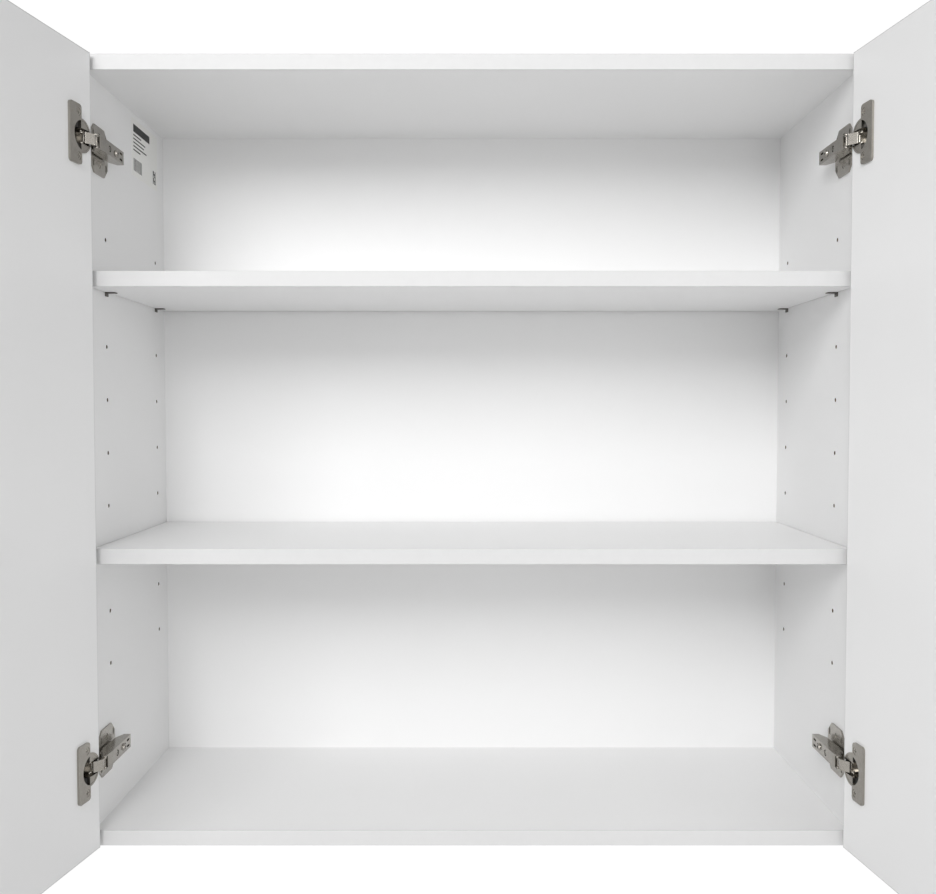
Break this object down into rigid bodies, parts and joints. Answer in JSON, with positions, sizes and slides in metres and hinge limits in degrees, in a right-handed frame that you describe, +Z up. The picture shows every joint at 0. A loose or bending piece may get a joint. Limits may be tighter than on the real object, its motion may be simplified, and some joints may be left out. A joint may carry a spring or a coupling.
{
  "type": "hanging wall cabinet",
  "caption": "White frameless wall cabinet with two doors on concealed cup hinges, two adjustable shelves and rows of shelf support holes.",
  "frame": {"origin": "centre of the upper hanging rail's wall face", "axes": "+Z up, +Y into the wall, the doors and the open front face -Y, +X to the right seen from the front"},
  "size_m": [1.0376, 0.7631, 0.912],
  "materials": {
    "white_melamine_board": "white melamine faced board, satin",
    "white_edge_band": "white thermoplastic edge band, satin",
    "raw_particle_board": "raw particle board",
    "beech_dowel": "fluted beech, unfinished",
    "zinc_plated_steel": "bright zinc plating",
    "nickel_plated_steel": "pressed steel, satin nickel plating",
    "dark_nickel_steel": "pressed steel, dark nickel plating",
    "label_paper": "self-adhesive paper, matt",
    "black_damper_plastic": "moulded, black",
    "clear_bumper": "soft clear elastomer"
  },
  "bodies": {
    "carcass": {"left_side_panel": "white_melamine_board", "right_side_panel": "white_melamine_board", "top_panel": "white_melamine_board", "bottom_panel": "white_melamine_board", "back_panel": "white_melamine_board", "upper_hanging_rail": "raw_particle_board", "lower_hanging_rail": "raw_particle_board", "left_side_edge_band": "white_edge_band", "right_side_edge_band": "white_edge_band", "top_edge_band": "white_edge_band", "bottom_edge_band": "white_edge_band", "carcass_dowels": "beech_dowel", "cam_locks": "zinc_plated_steel", "cam_bolts": "zinc_plated_steel", "hanging_plates": "zinc_plated_steel", "hanging_plate_screws": "zinc_plated_steel", "upper_shelf": "white_melamine_board", "lower_shelf": "white_melamine_board", "upper_shelf_edge_band": "white_edge_band", "lower_shelf_edge_band": "white_edge_band", "upper_shelf_supports": "dark_nickel_steel", "lower_shelf_supports": "dark_nickel_steel", "blank_label": "label_paper", "left_upper_hinge_plate": "nickel_plated_steel", "left_lower_hinge_plate": "nickel_plated_steel", "right_upper_hinge_plate": "nickel_plated_steel", "right_lower_hinge_plate": "nickel_plated_steel", "hinge_plate_screws": "nickel_plated_steel", "hinge_fixing_screws": "nickel_plated_steel", "hinge_side_screws": "nickel_plated_steel", "left_upper_hinge_arm": "nickel_plated_steel", "left_lower_hinge_arm": "nickel_plated_steel", "right_upper_hinge_arm": "nickel_plated_steel", "right_lower_hinge_arm": "nickel_plated_steel", "hinge_arm_pins": "nickel_plated_steel"},
    "left_inner_links": {"left_upper_inner_link": "nickel_plated_steel", "left_lower_inner_link": "nickel_plated_steel"},
    "left_outer_links": {"left_upper_outer_link": "nickel_plated_steel", "left_lower_outer_link": "nickel_plated_steel"},
    "left_door": {"left_door": "white_melamine_board", "left_door_edge_bands": "white_edge_band", "left_upper_hinge_cup": "nickel_plated_steel", "left_lower_hinge_cup": "nickel_plated_steel", "left_cup_pins": "nickel_plated_steel", "left_cup_screws": "nickel_plated_steel", "left_cup_dampers": "black_damper_plastic", "left_door_bumpers": "clear_bumper"},
    "right_inner_links": {"right_upper_inner_link": "nickel_plated_steel", "right_lower_inner_link": "nickel_plated_steel"},
    "right_outer_links": {"right_upper_outer_link": "nickel_plated_steel", "right_lower_outer_link": "nickel_plated_steel"},
    "right_door": {"right_door": "white_melamine_board", "right_door_edge_bands": "white_edge_band", "right_upper_hinge_cup": "nickel_plated_steel", "right_lower_hinge_cup": "nickel_plated_steel", "right_cup_pins": "nickel_plated_steel", "right_cup_screws": "nickel_plated_steel", "right_cup_dampers": "black_damper_plastic", "right_door_bumpers": "clear_bumper"}
  },
  "joints": [
    {"name": "left_inner_link_swing", "type": "hinge", "parent": "carcass", "child": "left_inner_links", "pos_m": [-0.4315, -0.297, -0.398], "axis": [0, 0, 1], "range_deg": [-38.1, 2]},
    {"name": "left_outer_link_swing", "type": "hinge", "parent": "carcass", "child": "left_outer_links", "pos_m": [-0.425, -0.3095, -0.398], "axis": [0, 0, 1], "range_deg": [-40.1, 2.1]},
    {"name": "left_door_swing", "type": "hinge", "parent": "left_inner_links", "child": "left_door", "pos_m": [-0.43598, -0.31953, -0.398], "axis": [0, 0, 1], "range_deg": [-6.9, 138]},
    {"name": "right_inner_link_swing", "type": "hinge", "parent": "carcass", "child": "right_inner_links", "pos_m": [0.4315, -0.297, -0.398], "axis": [0, 0, 1], "range_deg": [-2.76, 37.34]},
    {"name": "right_outer_link_swing", "type": "hinge", "parent": "carcass", "child": "right_outer_links", "pos_m": [0.425, -0.3095, -0.398], "axis": [0, 0, 1], "range_deg": [-2.9, 39.3]},
    {"name": "right_door_swing", "type": "hinge", "parent": "right_inner_links", "child": "right_door", "pos_m": [0.43628, -0.31947, -0.398], "axis": [0, 0, 1], "range_deg": [-135.24, 9.66]}
  ],
  "couplings": [
    {"joint": "left_inner_link_swing", "follows": "left_door_swing", "ratio": -0.27536},
    {"joint": "left_outer_link_swing", "follows": "left_door_swing", "ratio": -0.28985},
    {"joint": "right_inner_link_swing", "follows": "right_door_swing", "ratio": -0.27536},
    {"joint": "right_outer_link_swing", "follows": "right_door_swing", "ratio": -0.28985}
  ]
}
